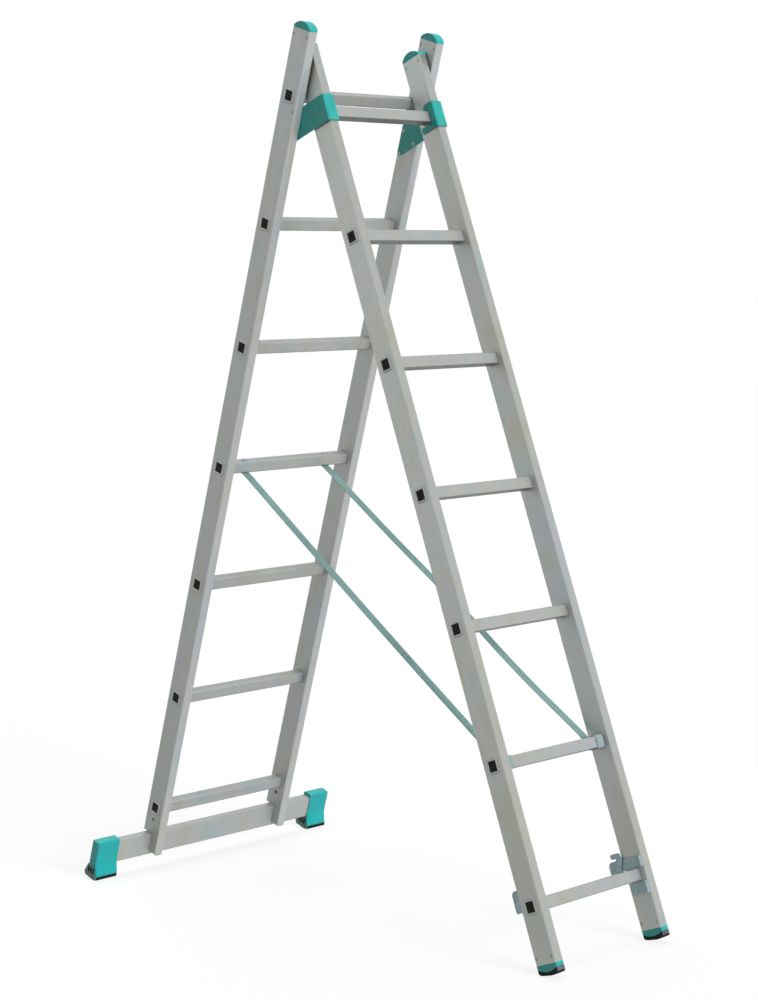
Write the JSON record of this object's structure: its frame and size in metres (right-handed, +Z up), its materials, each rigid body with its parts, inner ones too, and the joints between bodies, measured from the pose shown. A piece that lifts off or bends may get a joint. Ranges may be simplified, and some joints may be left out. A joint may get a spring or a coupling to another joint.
{
  "type": "combination ladder",
  "caption": "Aluminium combination ladder standing opened as a trestle, with nesting sections, spreader straps, a stabiliser bar, guide brackets and hooks.",
  "frame": {"origin": "on the ground, at the middle of the outline", "axes": "+X to the right along the rungs, +Y towards the rear section with the stabiliser, +Z up"},
  "size_m": [0.6916, 1.3072, 1.8962],
  "materials": {
    "aluminium": "mill-finish extrusion",
    "green_plastic": "moulded, satin",
    "green_paint": "powder coat",
    "black_plastic": "moulded, matt",
    "rubber": "moulded, matt",
    "zinc_steel": "zinc plated",
    "webbing": "woven webbing"
  },
  "bodies": {
    "base": {"base_cap_left": "green_plastic", "base_cap_right": "green_plastic", "base_rung_1": "aluminium", "base_rung_2": "aluminium", "base_rung_3": "aluminium", "base_rung_4": "aluminium", "base_rung_5": "aluminium", "base_rung_6": "aluminium", "base_rung_7": "aluminium", "base_rung_plugs": "black_plastic", "base_stile_left": "aluminium", "base_stile_right": "aluminium", "guide_bracket_left": "green_paint", "guide_bracket_right": "green_paint", "guide_rivets": "zinc_steel", "stabiliser_anchors": "zinc_steel", "stabiliser_bar": "aluminium", "stabiliser_bolts": "zinc_steel", "stabiliser_foot_left": "green_plastic", "stabiliser_foot_right": "green_plastic", "stabiliser_sole_left": "rubber", "stabiliser_sole_right": "rubber", "strap_left": "webbing", "strap_right": "webbing", "strap_rivets": "zinc_steel"},
    "front": {"catch_pin": "zinc_steel", "front_cap_left": "green_plastic", "front_cap_right": "green_plastic", "front_foot_left": "green_plastic", "front_foot_right": "green_plastic", "front_rung_1": "aluminium", "front_rung_2": "aluminium", "front_rung_3": "aluminium", "front_rung_4": "aluminium", "front_rung_5": "aluminium", "front_rung_6": "aluminium", "front_rung_7": "aluminium", "front_rung_plugs": "black_plastic", "front_sole_left": "rubber", "front_sole_right": "rubber", "front_stile_left": "aluminium", "front_stile_right": "aluminium", "hook_plate_left": "zinc_steel", "hook_plate_right": "zinc_steel", "hook_rivets": "zinc_steel"},
    "catch": {"safety_catch": "zinc_steel"}
  },
  "joints": [
    {"name": "fold", "type": "hinge", "parent": "base", "child": "front", "pos_m": [0, 0.01715, 1.75227], "axis": [1, 0, 0], "range_deg": [0, 36.5], "deforming": ["strap_left", "strap_right"]},
    {"name": "catch_swing", "type": "hinge", "parent": "front", "child": "catch", "pos_m": [0.1422, -0.54071, 0.13603], "axis": [1, 0, 0], "range_deg": [-35, 0], "stiffness_Nm_per_rad": 0.05, "springref_deg": 17.19}
  ]
}
